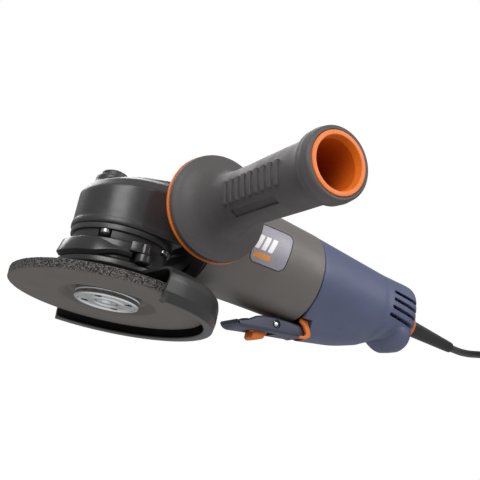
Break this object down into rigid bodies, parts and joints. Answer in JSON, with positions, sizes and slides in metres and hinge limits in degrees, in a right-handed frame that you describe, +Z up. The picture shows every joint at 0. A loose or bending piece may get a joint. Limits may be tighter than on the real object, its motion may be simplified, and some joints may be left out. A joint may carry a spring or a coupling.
{
  "type": "angle grinder",
  "caption": "Corded angle grinder with a sunk-centre grinding disc, quick-turn guard, hollow side handle, paddle switch with lock-off and a coiled mains lead.",
  "frame": {"origin": "middle of the footprint of the tool without its lead, on the bench", "axes": "+Z up, +X along the tool from the nose to the tail, side handle towards -Y; the tool stands on its guard and heel, nose raised 12.6 degrees"},
  "size_m": [0.4901, 0.2384, 0.1112],
  "materials": {
    "cast_alloy": "satin dark grey powder coat on die-cast alloy",
    "bright_steel": "bright zinc-plated steel",
    "brass": "machined brass",
    "black_plastic": "black moulded plastic",
    "core_steel": "plain dark steel",
    "abrasive": "resin-bonded grit, smooth grey face and rough dark rim",
    "guard_steel": "satin dark grey enamel on pressed steel",
    "black_steel": "blackened steel",
    "grip_rubber": "matt dark grey soft grip",
    "orange_plastic": "satin orange moulded plastic",
    "grey_plastic": "satin warm dark grey moulded plastic",
    "label_film": "grey printed film",
    "copper": "varnished copper wire",
    "carbon": "carbon",
    "blue_plastic": "satin grey-blue moulded plastic",
    "black_rubber": "matt black rubber"
  },
  "bodies": {
    "housing": {"gear_housing": "cast_alloy", "bearing_cover": "cast_alloy", "cover_screw_1": "bright_steel", "cover_screw_2": "bright_steel", "cover_screw_3": "bright_steel", "cover_screw_4": "bright_steel", "spindle_bearing": "bright_steel", "spindle_bush": "brass", "armature_front_bearing": "bright_steel", "handle_grip": "grip_rubber", "handle_insert": "orange_plastic", "handle_ring": "orange_plastic", "handle_stud": "bright_steel", "motor_housing": "grey_plastic", "label_left": "label_film", "label_right": "label_film", "air_baffle": "black_plastic", "stator_core": "core_steel", "field_coils": "copper", "armature_rear_bearing": "bright_steel", "brush_holder_left": "brass", "carbon_brush_left": "carbon", "brush_holder_right": "brass", "carbon_brush_right": "carbon", "rear_housing_left": "blue_plastic", "rear_housing_right": "blue_plastic", "shell_screw_1": "black_steel", "shell_screw_2": "black_steel", "shell_screw_3": "black_steel", "shell_screw_4": "black_steel", "paddle_frame": "orange_plastic", "switch_body": "black_plastic", "paddle_pivot_pin": "bright_steel", "strain_relief": "black_rubber", "relief_collar": "orange_plastic", "cord": "black_rubber", "cord_end": "black_rubber", "cord_coil": "black_rubber", "plug_body": "black_rubber", "plug_insert": "black_plastic"},
    "spindle": {"spindle": "bright_steel", "crown_gear": "core_steel", "inner_flange": "core_steel", "grinding_disc": "abrasive", "flange_nut": "bright_steel"},
    "armature": {"armature_shaft": "core_steel", "pinion": "core_steel", "cooling_fan": "black_plastic", "armature_winding": "copper", "armature_core": "core_steel", "commutator": "copper"},
    "guard": {"guard": "guard_steel", "guard_clamp_band": "black_steel", "guard_lever_pin": "bright_steel"},
    "guard_lever": {"guard_lever": "black_plastic"},
    "paddle": {"paddle": "blue_plastic", "lock_off_pin": "bright_steel"},
    "lock_off": {"lock_off_lever": "orange_plastic"},
    "lock_button": {"spindle_lock_button": "black_plastic"},
    "switch_plunger": {"switch_plunger": "orange_plastic"}
  },
  "joints": [
    {"name": "armature_spin", "type": "hinge", "parent": "housing", "child": "armature", "pos_m": [-0.02988, 0.0492, 0.06373], "axis": [0.9759, 0, -0.2181], "continuous": true},
    {"name": "spindle_spin", "type": "hinge", "parent": "housing", "child": "spindle", "pos_m": [-0.12139, 0.0492, 0.02107], "axis": [0.2181, 0, 0.9759], "continuous": true},
    {"name": "guard_turn", "type": "hinge", "parent": "housing", "child": "guard", "pos_m": [-0.11702, 0.0492, 0.04059], "axis": [0.2181, 0, 0.9759], "range_deg": [-90, 60]},
    {"name": "guard_lever_swing", "type": "hinge", "parent": "guard", "child": "guard_lever", "pos_m": [-0.11529, 0.01121, 0.04532], "axis": [0.2181, 0, 0.9759], "range_deg": [0, 75]},
    {"name": "paddle_press", "type": "hinge", "parent": "housing", "child": "paddle", "pos_m": [0.05214, 0.0492, 0.01118], "axis": [0, 1, 0], "range_deg": [0, 4], "stiffness_Nm_per_rad": 3, "springref_deg": -6.88},
    {"name": "lock_off_swing", "type": "hinge", "parent": "paddle", "child": "lock_off", "pos_m": [0.00093, 0.0492, 0.01361], "axis": [0, -1, 0], "range_deg": [0, 20], "stiffness_Nm_per_rad": 0.1, "springref_deg": -11.46},
    {"name": "lock_button_press", "type": "slide", "parent": "housing", "child": "lock_button", "axis": [-0.2181, 0, -0.9759], "range_m": [0, 0.004], "stiffness_N_per_m": 900, "springref_m": -0.002},
    {"name": "switch_plunger_slide", "type": "slide", "parent": "housing", "child": "switch_plunger", "axis": [0.2181, 0, 0.9759], "range_m": [0, 0.001]}
  ],
  "couplings": [
    {"joint": "spindle_spin", "follows": "armature_spin", "ratio": 0.32432},
    {"joint": "switch_plunger_slide", "follows": "paddle_press", "m_per_rad": 0.0135}
  ]
}
